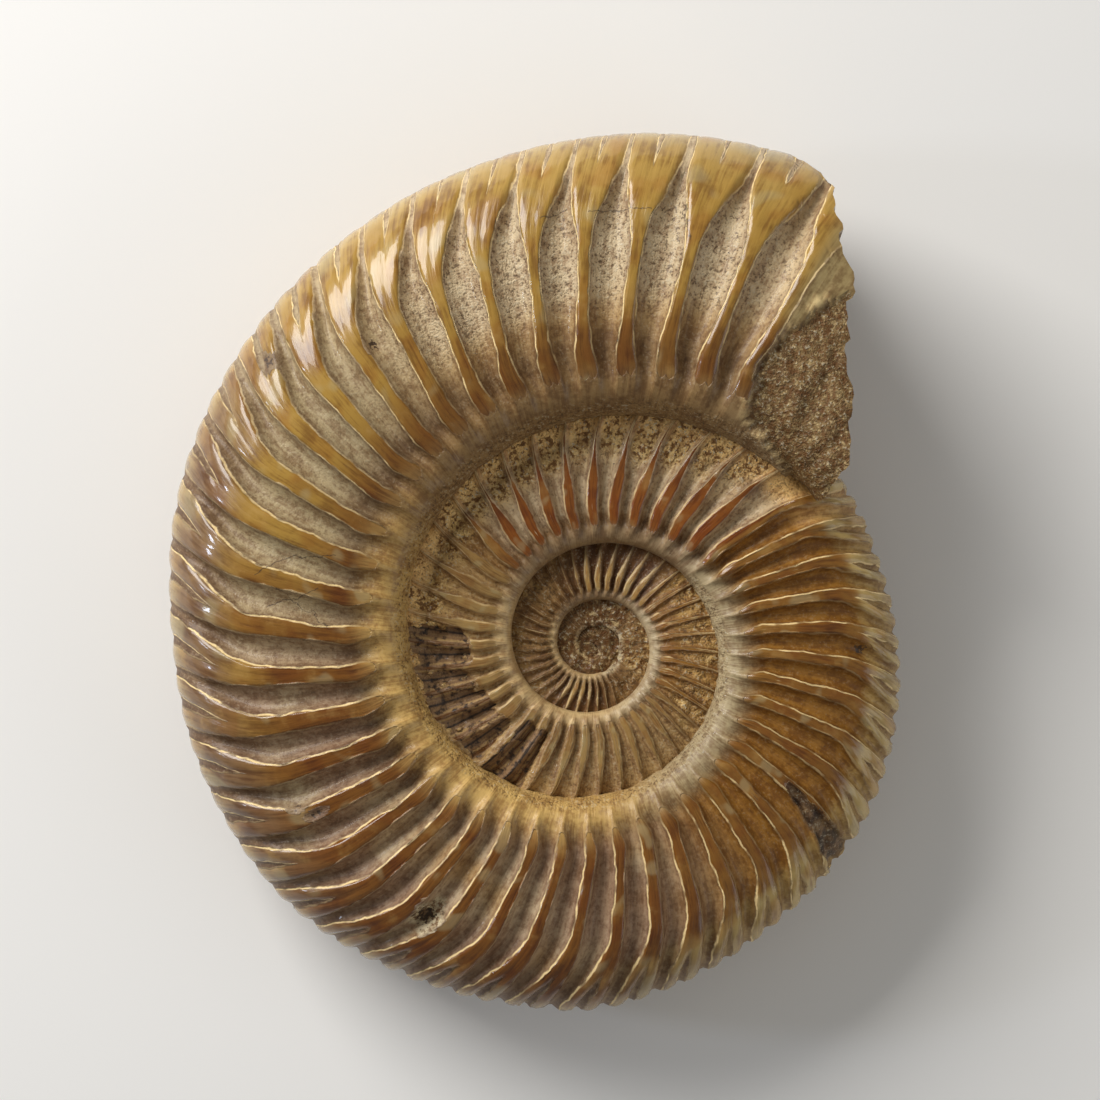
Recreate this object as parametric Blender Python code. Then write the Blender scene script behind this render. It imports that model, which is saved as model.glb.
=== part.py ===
"""A perisphinctes ammonite, about 78 mm across, lying on its back face with its coil seen from above.

The shell is one closed surface. Every point on it has a turn angle and a flank share. The turn angle
is in degrees and runs clockwise seen from above, 0 at +X, with a full turn between neighbouring whorls.
The flank share is 0 at the seam, where a whorl meets the one inside it, and 1 at the outer edge.
"""

import bpy
import bmesh
import numpy as np
from mathutils import Matrix, Vector

MM = 0.001
TURN = 360.0

# Coil: sizes at turn angle 0, and how fast each one grows over a turn (natural log)
OUTER_RADIUS = 27.2 * MM
OUTER_GROWTH = 0.673
SEAM_RADIUS = 10.93 * MM
SEAM_GROWTH = 0.812
HALF_WIDTH = 6.3 * MM
WIDTH_GROWTH = 0.70

# Whorl section: where it is thickest, and how square its outer and inner quarters are
CROWN_SHARE = 0.38
OUTER_SQUARENESS = 2.35
INNER_SQUARENESS = 2.9

# Swells and dips of the outer edge: turn angle, spread in degrees, height
EDGE_SWELLS = (
    (-26.0, 14.0, 0.30 * MM),
    (56.0, 16.0, -0.50 * MM),
    (90.0, 9.0, 0.42 * MM),
    (140.0, 14.0, 0.45 * MM),
    (182.0, 13.0, -0.50 * MM),
    (275.0, 12.0, 0.20 * MM),
)

# Primary ribs: rib 0 stands at this turn angle, and the spacing is wider on the inner whorls
FIRST_RIB_ANGLE = -29.7
RIB_SPACING = 8.024
INNER_RIB_SPACING = 8.9
INNER_RIBS_BELOW = -1.0
# Where the ribs run ahead of an even spacing: rib number, spread in ribs, degrees
RIB_DRIFTS = ((28.7, 5.4, 4.6), (16.0, 5.0, 0.8))

# Lean of the ribs, in degrees forward of their place at this share. The slope is per unit of share and
# is steeper on the lower side and lost near the mouth. The swing comes in towards the outer edge.
UPRIGHT_SHARE = 0.25
LEAN_SLOPE = 3.2
LOWER_SLOPE = (3.8, 88.0, 38.0)
MOUTH_SLOPE_LOSS = (2.7, 255.0, 285.0)
EDGE_SWING = 5.6
MOUTH_SWING_LOSS = (4.16, 240.0, 280.0)
SWING_SHARES = (0.62, 1.12)
UMBILICAL_HOOK = 1.2
HOOK_SHARE = 0.10

# Relief of the ribs, as shares of the whorl height
GROOVE_DEPTH = 0.036
INNER_GROOVE_GAIN = 1.5
INNER_GAIN_RIBS = 8.0
SPLIT_DEPTH = 0.020
# Distances from a crest, in rib spacings, at which its groove starts and is full, and a split ends
GROOVE_START = 0.14
GROOVE_FULL = 0.40
SPLIT_HALF = 0.20
# Flank shares between which the grooves deepen, fade towards the outer edge, and the splits deepen
DEEPENING_SHARES = (0.08, 0.20)
FADING_SHARES = (0.70, 1.0)
FADING = 0.45
SPLIT_SHARES = (0.74, 0.90)

# Broken mouth: its turn angle at each flank share, past the seam end that the covered whorl sets
MOUTH_SHARES = (0.12, 0.45, 0.69, 0.74, 0.89, 0.95, 1.0)
MOUTH_ANGLES = (325.0, 309.2, 303.8, 300.8, 298.1, 295.5, 291.5)
LAST_EVEN_RIB = 39.5
MOUTH_COLUMNS = 16

# Scar across the outer flank of the front: turn angles and shares of its two ends, its depth, how many
# degrees wide it starts and how many it gains, and the stretch of its length in which it deepens
SCAR_ANGLES = (35.5, 40.5)
SCAR_SHARES = (0.52, 0.97)
SCAR_DEPTH = 0.7 * MM
SCAR_WIDTH = 1.2
SCAR_WIDENING = 2.0
SCAR_DEEPENING = (-0.1, 0.35)

# Mesh: shares of the rows of the last whorl, ribs where its open and covered stretches start
ROW_SHARES = (0.0, 0.06, 0.14, 0.32, 0.52, 0.70)
RIM_SHARES = (0.823, 0.93, 1.0)
FIRST_OPEN_RIB = -0.75
RIB_STEP = 0.25
RIBBED_INNER_RIB = -39.0
RIBBED_INNER_STEP = 0.5
RIBLESS_FADE = 4.0
FIRST_RIB = -107.8
PLAIN_INNER_STEP = 1.6
CENTRE_HEIGHT = 0.55 * MM

# Steps for reading directions off the surface, the share from which it faces straight out, and how the
# rib numbers are read back from the angles
SHARE_STEP = 0.01
ANGLE_STEP = 0.5
EDGE_SHARE = 0.999
RIB_SAMPLES = 3000
SAMPLED_RIBS_PAST = 10.0
LEAN_PASSES = 4

# Rest: the thicker mouth side tips the coil, and the lowest crests are worn flat
TIP_ANGLE = 3.3
TIP_HEADING = -40.0
WORN_DEPTH = 0.65 * MM

FOSSIL_COLOUR = (0.36, 0.25, 0.12, 1.0)
FOSSIL_ROUGHNESS = 0.45


def smooth(value, start, end):
    """0 below start, 1 above end, and an S-curve between them."""
    share = np.clip((value - start) / (end - start), 0.0, 1.0)
    return share * share * (3.0 - 2.0 * share)


def bump(value, centre, spread):
    return np.exp(-(((value - centre) / spread) ** 2))


def outer_radius(angle):
    swell = sum(height * bump(angle, centre, spread) for centre, spread, height in EDGE_SWELLS)
    return OUTER_RADIUS * np.exp(OUTER_GROWTH * angle / TURN) + swell


def seam_radius(angle):
    return SEAM_RADIUS * np.exp(SEAM_GROWTH * angle / TURN)


def half_width(angle):
    return HALF_WIDTH * np.exp(WIDTH_GROWTH * angle / TURN)


def whorl_height(angle):
    return outer_radius(angle) - seam_radius(angle)


def covered_share(angle):
    """The flank share at which the next whorl meets this one."""
    return (seam_radius(angle + TURN) - seam_radius(angle)) / whorl_height(angle)


def outer_quarter(angle, share):
    """Height over the mid-plane from the crown to the outer edge, along a superellipse."""
    run = np.clip((share - CROWN_SHARE) / (1.0 - CROWN_SHARE), 0.0, 1.0)
    return half_width(angle) * (1.0 - run**OUTER_SQUARENESS) ** (1.0 / OUTER_SQUARENESS)


def inner_quarter(angle, share):
    """Height from the seam, on the flank of the whorl inside, up the wall to the crown."""
    inside = angle - TURN
    start = outer_quarter(inside, covered_share(inside))
    run = np.clip((CROWN_SHARE - share) / CROWN_SHARE, 0.0, 1.0)
    rise = (1.0 - run**INNER_SQUARENESS) ** (1.0 / INNER_SQUARENESS)
    return start + (half_width(angle) - start) * rise


def plain_surface(angle, share, side):
    """The shell without its ribs: side is 1 in front of the mid-plane and -1 behind it."""
    radius = seam_radius(angle) + share * whorl_height(angle)
    height = np.where(share > CROWN_SHARE, outer_quarter(angle, share), inner_quarter(angle, share))
    turned = np.radians(angle)
    return np.stack([radius * np.cos(turned), -radius * np.sin(turned), side * height], axis=-1)


def outward(angle, share, side):
    """Unit normals of the plain surface, from the directions along the coil and across the flank."""
    low = np.clip(share - SHARE_STEP, 0.0, EDGE_SHARE)
    high = np.clip(share + SHARE_STEP, 0.0, EDGE_SHARE)
    along = plain_surface(angle + ANGLE_STEP, share, side) - plain_surface(angle - ANGLE_STEP, share, side)
    across = plain_surface(angle, high, side) - plain_surface(angle, low, side)
    normal = np.cross(along, across) * side[..., None]
    edge = share > EDGE_SHARE
    turned = np.radians(angle)
    normal[edge] = np.stack([np.cos(turned), -np.sin(turned), 0.0 * turned], axis=-1)[edge]
    return normal / np.linalg.norm(normal, axis=-1, keepdims=True)


def rib_angle(rib):
    """Turn angle of a rib's crest at the upright share, for any real rib number."""
    even = FIRST_RIB_ANGLE + RIB_SPACING * rib
    turn = FIRST_RIB_ANGLE + RIB_SPACING * INNER_RIBS_BELOW
    inner = turn + INNER_RIB_SPACING * (rib - INNER_RIBS_BELOW)
    drift = sum(height * bump(rib, centre, spread) for centre, spread, height in RIB_DRIFTS)
    return np.where(rib < INNER_RIBS_BELOW, inner, even) + drift


def rib_lean(angle, share):
    """Degrees that a rib runs forward of its place at the upright share."""
    gain, gain_centre, gain_spread = LOWER_SLOPE
    loss, loss_start, loss_end = MOUTH_SLOPE_LOSS
    slope = LEAN_SLOPE + gain * bump(angle, gain_centre, gain_spread)
    slope = slope - loss * smooth(angle, loss_start, loss_end)
    swing_loss, swing_start, swing_end = MOUTH_SWING_LOSS
    swing = EDGE_SWING - swing_loss * smooth(angle, swing_start, swing_end)
    hook = UMBILICAL_HOOK * smooth(share, UPRIGHT_SHARE, HOOK_SHARE)
    return slope * np.maximum(share - UPRIGHT_SHARE, 0.0) + swing * smooth(share, *SWING_SHARES) + hook


def rib_number(angle, share):
    """The real rib number at a place, from the crest angles read backwards."""
    ribs = np.linspace(FIRST_RIB, LAST_EVEN_RIB + SAMPLED_RIBS_PAST, RIB_SAMPLES)
    upright = angle
    for _ in range(LEAN_PASSES):
        upright = angle - rib_lean(upright, share)
    return np.interp(upright, rib_angle(ribs), ribs)


def relief(angle, share, side, rib):
    """How far the surface lies below its plain form: grooves between ribs, splits and the scar."""
    off_crest = np.abs((rib + 0.5) % 1.0 - 0.5)
    height = whorl_height(angle)
    reach = smooth(share, *DEEPENING_SHARES) * (1.0 - FADING * smooth(share, *FADING_SHARES))
    groove = GROOVE_DEPTH * height * reach * smooth(off_crest, GROOVE_START, GROOVE_FULL)
    split = SPLIT_DEPTH * height * smooth(share, *SPLIT_SHARES) * (1.0 - smooth(off_crest, 0.0, SPLIT_HALF))
    ribbed = smooth(rib, RIBBED_INNER_RIB - RIBLESS_FADE, RIBBED_INNER_RIB)
    outer = smooth(rib, INNER_RIBS_BELOW - INNER_GAIN_RIBS, INNER_RIBS_BELOW)
    gain = INNER_GROOVE_GAIN + (1.0 - INNER_GROOVE_GAIN) * outer
    run = (share - SCAR_SHARES[0]) / (SCAR_SHARES[1] - SCAR_SHARES[0])
    line = SCAR_ANGLES[0] + (SCAR_ANGLES[1] - SCAR_ANGLES[0]) * run
    width = SCAR_WIDTH + SCAR_WIDENING * np.clip(run, 0.0, 1.0)
    scar = SCAR_DEPTH * bump(angle, line, width) * smooth(run, *SCAR_DEEPENING)
    return (groove * gain + split) * ribbed + np.where(side > 0.0, scar, 0.0)


def shell_points(angle, share, side, rib):
    depth = relief(angle, share, side, rib)
    return plain_surface(angle, share, side) - depth[..., None] * outward(angle, share, side)


def mouth_angle(share, seam_end):
    return np.interp(share, (0.0,) + MOUTH_SHARES, (seam_end,) + MOUTH_ANGLES)


def last_whorl(seam_end):
    """Angles, shares, sides and rib numbers of the open whorl: columns along it, rows across it."""
    front = np.array(ROW_SHARES + RIM_SHARES)
    shares = np.concatenate([front, front[-2::-1]])
    sides = np.concatenate([np.ones(len(front)), -np.ones(len(front) - 1)])
    ribs = np.arange(FIRST_OPEN_RIB, LAST_EVEN_RIB + RIB_STEP / 2.0, RIB_STEP)
    even = rib_angle(ribs)[:, None] + rib_lean(rib_angle(ribs)[:, None], shares[None, :])
    part = np.arange(1, MOUTH_COLUMNS + 1)[:, None] / MOUTH_COLUMNS
    mouth = even[-1:] + (mouth_angle(shares, seam_end)[None, :] - even[-1:]) * part
    angles = np.concatenate([even, mouth])
    share_grid = np.broadcast_to(shares, angles.shape)
    side_grid = np.broadcast_to(sides, angles.shape)
    rib_grid = np.concatenate([np.broadcast_to(ribs[:, None], even.shape),
                               rib_number(mouth, share_grid[len(ribs):])])
    return angles, share_grid, side_grid, rib_grid


def inner_whorls(side):
    """The same for the covered whorls on one side, from the centre out to the open one."""
    plain = np.arange(FIRST_RIB, RIBBED_INNER_RIB - PLAIN_INNER_STEP / 2.0, PLAIN_INNER_STEP)
    ribbed = np.arange(RIBBED_INNER_RIB, FIRST_OPEN_RIB - RIBBED_INNER_STEP / 2.0, RIBBED_INNER_STEP)
    ribs = np.concatenate([plain, ribbed])[:, None]
    rows = np.array(ROW_SHARES)[None, :] / RIM_SHARES[0]
    angles = rib_angle(ribs) + rib_lean(rib_angle(ribs), rows * RIM_SHARES[0])
    shares = rows * covered_share(angles)
    return angles, shares, np.full(angles.shape, side), np.broadcast_to(ribs, angles.shape)


class Skin:
    """Collects the points and faces of the closed surface."""

    def __init__(self):
        self.points = []
        self.faces = []

    def add(self, places):
        first = len(self.points)
        self.points.extend(tuple(place) for place in places.reshape(-1, 3))
        return np.arange(first, len(self.points)).reshape(places.shape[:-1])

    def grid(self, index):
        for low, high in zip(index[:-1], index[1:]):
            for row in range(len(low) - 1):
                self.faces.append((low[row], low[row + 1], high[row + 1], high[row]))

    def strip(self, near, near_at, far, far_at):
        """Triangles between two lines of points, stepping along whichever comes next."""
        i = j = 0
        while i + 1 < len(near) or j + 1 < len(far):
            step_near = j + 1 == len(far) or (i + 1 < len(near) and near_at[i + 1] <= far_at[j + 1])
            next_i, next_j = (i + 1, j) if step_near else (i, j + 1)
            corners = [near[i], far[j], near[next_i] if step_near else far[next_j]]
            if len(set(corners)) == 3:
                self.faces.append(tuple(corners))
            i, j = next_i, next_j

    def fan(self, loop, middle):
        for one, other in zip(loop, loop[1:] + loop[:1]):
            self.faces.append((one, other, middle))


def shell_mesh():
    """The whole shell: the open whorl, the covered whorls on both sides, their centres and the mouth."""
    skin = Skin()
    rim_row = len(ROW_SHARES)
    lean_there = rib_lean(rib_angle(FIRST_OPEN_RIB), RIM_SHARES[0])
    seam_end = float(rib_angle(FIRST_OPEN_RIB) + lean_there + TURN)
    angles, shares, sides, ribs = last_whorl(seam_end)
    index = skin.add(shell_points(angles, shares, sides, ribs))
    rows = index.shape[1]
    # The mouth's two seam ends lie on the whorl inside, so the first column shares them.
    index[0, rim_row] = index[-1, 0]
    index[0, rows - 1 - rim_row] = index[-1, -1]
    skin.grid(index)
    for side in (1.0, -1.0):
        inner_angles, inner_shares, inner_sides, inner_ribs = inner_whorls(side)
        inner = skin.add(shell_points(inner_angles, inner_shares, inner_sides, inner_ribs))
        open_rows = np.arange(rim_row) if side > 0.0 else rows - 1 - np.arange(rim_row)
        inner = np.concatenate([inner, index[:1, open_rows]])
        inner_angles = np.concatenate([inner_angles, angles[:1, open_rows]])
        skin.grid(inner)
        seam = np.concatenate([inner[:, 0], index[1:, open_rows[0]]])
        seam_at = np.concatenate([inner_angles[:, 0], angles[1:, open_rows[0]]]) - TURN
        first = int(np.searchsorted(seam_at, inner_angles[0, -1]))
        skin.strip(inner[:, -1], inner_angles[:, -1], seam[first:], seam_at[first:])
        middle = skin.add(np.array([[0.0, 0.0, side * CENTRE_HEIGHT]]))[0]
        skin.fan(list(seam[:first + 1]) + list(inner[0, :0:-1]), middle)
    # The mouth runs from the open whorl's last section to the covered whorl's outer edge.
    lip = index[-1]
    dorsal = index[0, rim_row:rows - rim_row]
    skin.strip(lip, np.linspace(0.0, 1.0, len(lip)), dorsal, np.linspace(0.0, 1.0, len(dorsal)))
    return skin


def laid_down(points):
    """Tips the coil as it rests, wears the lowest crests flat and puts the base centre at the origin."""
    heading = np.radians(TIP_HEADING)
    axis = Vector((np.cos(heading), np.sin(heading), 0.0))
    tip = np.array(Matrix.Rotation(np.radians(TIP_ANGLE), 3, axis))
    placed = points @ tip.T
    placed[:, 2] = np.maximum(placed[:, 2] - placed[:, 2].min() - WORN_DEPTH, 0.0)
    middle = (placed.min(axis=0) + placed.max(axis=0)) / 2.0
    placed[:, :2] -= middle[:2]
    return placed


def fossil_material():
    material = bpy.data.materials.new("fossil")
    material.use_nodes = True
    shader = material.node_tree.nodes["Principled BSDF"]
    shader.inputs["Base Color"].default_value = FOSSIL_COLOUR
    shader.inputs["Roughness"].default_value = FOSSIL_ROUGHNESS
    shader.inputs["Metallic"].default_value = 0.0
    return material


def build_ammonite():
    skin = shell_mesh()
    used = sorted({int(corner) for face in skin.faces for corner in face})
    place = {old: new for new, old in enumerate(used)}
    points = laid_down(np.array(skin.points)[used])
    mesh = bpy.data.meshes.new("ammonite")
    mesh.from_pydata(points.tolist(), [], [[place[int(corner)] for corner in face] for face in skin.faces])
    work = bmesh.new()
    work.from_mesh(mesh)
    bmesh.ops.recalc_face_normals(work, faces=work.faces)
    bmesh.ops.triangulate(work, faces=work.faces)
    work.to_mesh(mesh)
    work.free()
    mesh.materials.append(fossil_material())
    ammonite = bpy.data.objects.new("ammonite", mesh)
    bpy.context.scene.collection.objects.link(ammonite)


def main():
    for old in list(bpy.data.objects):
        bpy.data.objects.remove(old)
    build_ammonite()


main()
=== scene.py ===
"""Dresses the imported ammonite: its ribbed whorls as fine surfaces, their finish, and the studio round it.

Every point of the shell has a turn angle and a flank share, as in the part's own source. The turn angle is
in degrees and runs clockwise seen from above, 0 at +X, with a full turn between neighbouring whorls. The
flank share is 0 at the seam, where a whorl meets the one inside it, and 1 at the outer edge.
"""
import math

import bpy
import numpy as np
from mathutils import Matrix, Vector


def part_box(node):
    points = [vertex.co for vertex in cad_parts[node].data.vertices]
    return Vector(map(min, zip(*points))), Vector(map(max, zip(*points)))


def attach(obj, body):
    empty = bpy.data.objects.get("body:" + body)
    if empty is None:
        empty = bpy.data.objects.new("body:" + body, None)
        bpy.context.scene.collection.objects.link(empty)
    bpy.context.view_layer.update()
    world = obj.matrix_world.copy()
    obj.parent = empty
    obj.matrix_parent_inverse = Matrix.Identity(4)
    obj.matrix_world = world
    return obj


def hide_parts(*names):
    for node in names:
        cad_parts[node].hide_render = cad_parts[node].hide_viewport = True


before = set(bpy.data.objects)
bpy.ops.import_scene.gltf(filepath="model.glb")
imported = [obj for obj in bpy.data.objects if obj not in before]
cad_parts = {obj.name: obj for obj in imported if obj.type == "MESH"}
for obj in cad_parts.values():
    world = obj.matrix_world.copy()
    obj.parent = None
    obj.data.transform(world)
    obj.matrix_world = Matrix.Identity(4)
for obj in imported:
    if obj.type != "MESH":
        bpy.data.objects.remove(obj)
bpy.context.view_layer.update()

bl_info = {
    "name": "Ammonite fossil",
    "version": (1, 0, 0),
    "blender": (4, 5, 0),
    "location": "3D View > Sidebar > Ammonite",
    "description": "Builds a polished ribbed ammonite and a plain studio around it",
    "category": "Add Mesh",
}

MM = 0.001
TURN = 360.0

# Steps and gain of the fixed hash behind the noise
HASH_STEPS = np.array([127.1, 311.7, 74.7])
HASH_GAIN = 43758.5453
WILD_STEP = 78.233

# Where the coil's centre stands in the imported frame, and how the coil is tipped as it rests
COIL_CENTRE = Vector((5.241, -6.397, 9.185)) * MM
TIP_ANGLE = 3.3
TIP_HEADING = -40.0

# Swells and dips of the outer edge: turn angle, spread in degrees, height
EDGE_SWELLS = (
    (-26.0, 14.0, 0.30 * MM),
    (56.0, 16.0, -0.50 * MM),
    (90.0, 9.0, 0.42 * MM),
    (140.0, 14.0, 0.45 * MM),
    (182.0, 13.0, -0.50 * MM),
    (275.0, 12.0, 0.20 * MM),
)

# Ribs: rib 0 stands at the first angle, and the spacing is wider on the whorls inside
FIRST_RIB_ANGLE = -29.7
RIB_SPACING = 8.024
INNER_RIB_SPACING = 8.9
INNER_RIBS_BELOW = -1.0
RIB_DRIFTS = ((28.7, 5.4, 4.6), (16.0, 5.0, 0.8))

# Broken mouth: its turn angle at each flank share, past the seam end
MOUTH_SHARES = (0.0, 0.12, 0.45, 0.69, 0.74, 0.89, 0.95, 1.0)
MOUTH_ANGLES = (326.7, 325.0, 309.2, 303.8, 300.8, 298.1, 295.5, 291.5)

# Rough stone in the mouth: the turn angle at which it starts at each flank share
MATRIX_SHARES = (0.0, 0.05, 0.08, 0.15, 0.22, 0.30, 0.37, 0.46, 0.55, 0.60, 0.63)
MATRIX_ANGLES = (319.0, 307.0, 303.6, 301.5, 300.3, 301.0, 301.7, 303.5, 304.6, 306.0, 318.0)

# Rib number at which the two pieces join, in the middle of a groove, the last one that the columns follow,
# and the turn angle at which the coil starts
JOIN_RIB = -3.5
LAST_EVEN_RIB = 39.5
CENTRE_ANGLE = -1435.0

# Rib numbers at which the second whorl ends and starts: those before it are on the third whorl
SECOND_ENDS_RIB = -1.0
SECOND_STARTS_RIB = -42.0

# Stretches of the coil as turn angles: polished top and left of the last whorl, the stretches on the left and
# below where shade is painted on the outer edge, and on the second whorl the red windows, the tan ribs and
# what sediment has filled
TOP = (236.0, 330.0)
POLISHED = (236.0, 300.0)
LEFT = (135.0, 236.0)
BELOW = (66.0, 150.0)
SHADED_LEFT = (140.0, 218.0)
WINDOWS = (-134.0, -34.0)
TAN_RIBS = (-325.0, -140.0)
BANKED = (-215.0, -30.0)
THIRD_WHORL = -395.0

# How far the hidden rows lie from the mid-plane, as a share of the seam's height
LAST_TUCK = 0.7
INNER_TUCK = 0.6

# Turn angles at which the rows of the last whorl and of those inside are spread evenly over the section, and
# the flank share at which the rows inside end there
LAST_EVEN_ROWS = 150.0
INNER_EVEN_ROWS = -200.0
INNER_ROWS_END = 0.82

# Columns across one rib: offsets from its crest in rib spacings, closer together at the crest's edges
COLUMN_OFFSETS = (0.0, 0.06, 0.11, 0.145, 0.175, 0.205, 0.24, 0.285, 0.345, 0.42)

# Columns to a rib on the whorls inside, from each rib number on
INNER_COLUMNS = ((-158.0, 2), (-110.0, 4), (-72.0, 9), (-42.0, 16))

# Cap of the mouth: the way it faces as a turn angle, and its rings with the first and the middle
MOUTH_HEADING = 300.0
CAP_RINGS = 16

# Flank share from which the shell faces straight out
AT_EDGE = 0.9995


def smooth(value, start, end):
    """0 below start, 1 above end, and an S-curve between them."""
    share = np.clip((value - start) / (end - start), 0.0, 1.0)
    return share * share * (3.0 - 2.0 * share)


def bump(value, centre, spread):
    """1 at the centre, falling off as a bell curve."""
    return np.exp(-(((value - centre) / spread) ** 2))


def zone(value, start, end, soft):
    """1 between start and end and 0 outside, with soft edges that wide to each side."""
    return smooth(value, start - soft, start + soft) * (1.0 - smooth(value, end - soft, end + soft))


def noise(points, size, seed=0.0):
    """Smooth noise from -1 to 1: hashed numbers on a cubic lattice of that size, blended smoothly."""
    place = points / size + seed
    cell = np.floor(place)
    part = place - cell
    part = part * part * (3.0 - 2.0 * part)
    total = np.zeros(points.shape[:-1])
    for corner in np.ndindex(2, 2, 2):
        hashed = np.sin((cell + corner) @ HASH_STEPS) * HASH_GAIN
        weight = np.prod(np.where(corner, part, 1.0 - part), axis=-1)
        total += weight * (hashed - np.floor(hashed))
    return 2.0 * total - 1.0


def wild(number):
    """A fixed random number from -1 to 1 for each whole number."""
    value = np.sin(np.round(number) * WILD_STEP) * HASH_GAIN
    return 2.0 * (value - np.floor(value)) - 1.0


class Coil:
    """The coil's form, worked out from its sizes."""

    def __init__(self, sizes):
        self.sizes = sizes

    def outer_radius(self, angle):
        """A logarithmic spiral with small swells."""
        swell = sum(height * bump(angle, centre, spread) for centre, spread, height in EDGE_SWELLS)
        return self.sizes.outer_radius * np.exp(self.sizes.outer_growth * angle / TURN) + swell

    def seam_radius(self, angle):
        """A logarithmic spiral that closes on the axis at its start."""
        closing = smooth(angle, CENTRE_ANGLE + TURN, CENTRE_ANGLE + 1.25 * TURN)
        return self.sizes.seam_radius * np.exp(self.sizes.seam_growth * angle / TURN) * closing

    def half_width(self, angle):
        """Half the whorl's thickness: it grows like the radii."""
        return self.sizes.half_width * np.exp(self.sizes.width_growth * angle / TURN)

    def whorl_height(self, angle):
        """From the seam to the outer edge."""
        return self.outer_radius(angle) - self.seam_radius(angle)

    def covered_share(self, angle):
        """The flank share at which the next whorl meets this one."""
        return (self.seam_radius(angle + TURN) - self.seam_radius(angle)) / self.whorl_height(angle)

    def outer_quarter(self, angle, share):
        """Height over the mid-plane from the crown to the outer edge: a superellipse."""
        power = self.sizes.outer_squareness
        run = np.clip((share - self.sizes.crown_share) / (1.0 - self.sizes.crown_share), 0.0, 1.0)
        return self.half_width(angle) * (1.0 - run**power) ** (1.0 / power)

    def inner_quarter(self, angle, share):
        """Height from the seam up the umbilical wall to the crown: a superellipse on the whorl inside."""
        power = self.sizes.inner_squareness
        inside = angle - TURN
        start = self.outer_quarter(inside, self.covered_share(inside))
        dome = 0.8 * smooth(angle, CENTRE_ANGLE + TURN, CENTRE_ANGLE)
        start = start + (self.half_width(angle) - start) * dome
        run = np.clip((self.sizes.crown_share - share) / self.sizes.crown_share, 0.0, 1.0)
        return start + (self.half_width(angle) - start) * (1.0 - run**power) ** (1.0 / power)

    def plain(self, angle, share, side):
        """The shell without its ribs: the section's radius and height, turned by the angle."""
        radius = self.seam_radius(angle) + share * self.whorl_height(angle)
        crown = self.sizes.crown_share
        outer = self.outer_quarter(angle, share)
        inner = self.inner_quarter(angle, share)
        height = np.where(share > crown, outer, inner)
        turned = np.radians(angle)
        return np.stack([radius * np.cos(turned), -radius * np.sin(turned), side * height], axis=-1)

    def outward(self, angle, share, side):
        """Unit normals of the plain shell: across times along, and straight out at the outer edge."""
        low = np.clip(share - 0.004, 0.0, AT_EDGE)
        high = np.clip(share + 0.004, 0.0, AT_EDGE)
        along = self.plain(angle + 0.2, share, side) - self.plain(angle - 0.2, share, side)
        across = self.plain(angle, high, side) - self.plain(angle, low, side)
        normal = np.cross(along, across) * side[..., None]
        turned = np.radians(angle)
        out = np.stack([np.cos(turned), -np.sin(turned), 0.0 * turned], axis=-1)
        normal = np.where((share > AT_EDGE)[..., None], out, normal)
        return normal / np.linalg.norm(normal, axis=-1, keepdims=True)

    def rib_angle(self, rib):
        """Turn angle of a rib's crest at a quarter of the flank, for any real rib number."""
        even = FIRST_RIB_ANGLE + RIB_SPACING * rib
        turn = FIRST_RIB_ANGLE + RIB_SPACING * INNER_RIBS_BELOW
        inner = turn + INNER_RIB_SPACING * (rib - INNER_RIBS_BELOW)
        drift = sum(height * bump(rib, centre, spread) for centre, spread, height in RIB_DRIFTS)
        return np.where(rib < INNER_RIBS_BELOW, inner, even) + drift

    def rib_lean(self, angle, share):
        """Degrees that a rib runs forward of its place at a quarter of the flank."""
        slope = 3.2 + 3.8 * bump(angle, 88.0, 38.0) - 2.7 * smooth(angle, 255.0, 285.0)
        swing = 5.6 - 4.16 * smooth(angle, 240.0, 280.0)
        hook = 1.2 * smooth(share, 0.25, 0.10)
        return slope * np.maximum(share - 0.25, 0.0) + swing * smooth(share, 0.62, 1.12) + hook

    def rib_number(self, angle, share):
        """The real rib number at a place, from the crest angles read backwards."""
        ribs = np.linspace(30.0, LAST_EVEN_RIB + 10.0, 2000)
        upright = angle
        for _ in range(4):
            upright = angle - self.rib_lean(upright, share)
        return np.interp(upright, self.rib_angle(ribs), ribs)

    def even_shares(self, angle, end, count):
        """Flank shares at equal steps along the section's line, from the seam to the end share."""
        fine = end * (1.0 - np.linspace(1.0, 0.0, 4000) ** 2)
        line = self.plain(np.full(fine.shape, angle), fine, np.ones(fine.shape))
        steps = np.linalg.norm(np.diff(line, axis=0), axis=-1)
        length = np.concatenate([[0.0], np.cumsum(steps)])
        return np.interp(np.linspace(0.0, length[-1], count), length, fine)


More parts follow.
